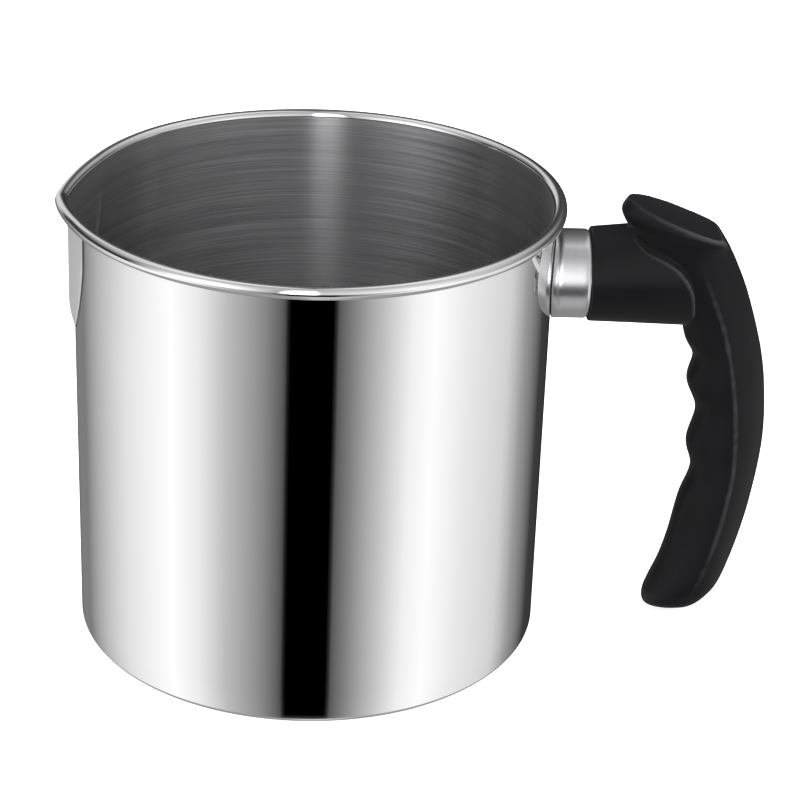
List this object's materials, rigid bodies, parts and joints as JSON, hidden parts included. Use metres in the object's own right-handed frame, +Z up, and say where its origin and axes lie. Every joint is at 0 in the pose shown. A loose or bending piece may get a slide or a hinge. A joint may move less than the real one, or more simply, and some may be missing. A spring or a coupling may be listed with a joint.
{
  "type": "candle melting pot",
  "caption": "Open stainless steel melting pot with a rolled rim, a pressed pouring spout and a moulded side handle with a thumb rest.",
  "frame": {"origin": "on the pot's axis, at the underside of its flat base", "axes": "+Z up along the pot's axis, +X towards the handle, -X towards the pouring spout"},
  "size_m": [0.2126, 0.146, 0.1369],
  "materials": {
    "pot_steel": "mirror polished outside, brushed inside",
    "guard_steel": "satin",
    "zinc_steel": "zinc plated",
    "phenolic": "satin moulded"
  },
  "bodies": {
    "root": {"pot_body": "pot_steel", "flame_guard": "guard_steel", "handle_bracket": "guard_steel", "weld_nut": "zinc_steel", "handle": "phenolic", "flat_washer": "zinc_steel", "spring_washer": "zinc_steel", "handle_screw": "zinc_steel"}
  },
  "joints": []
}
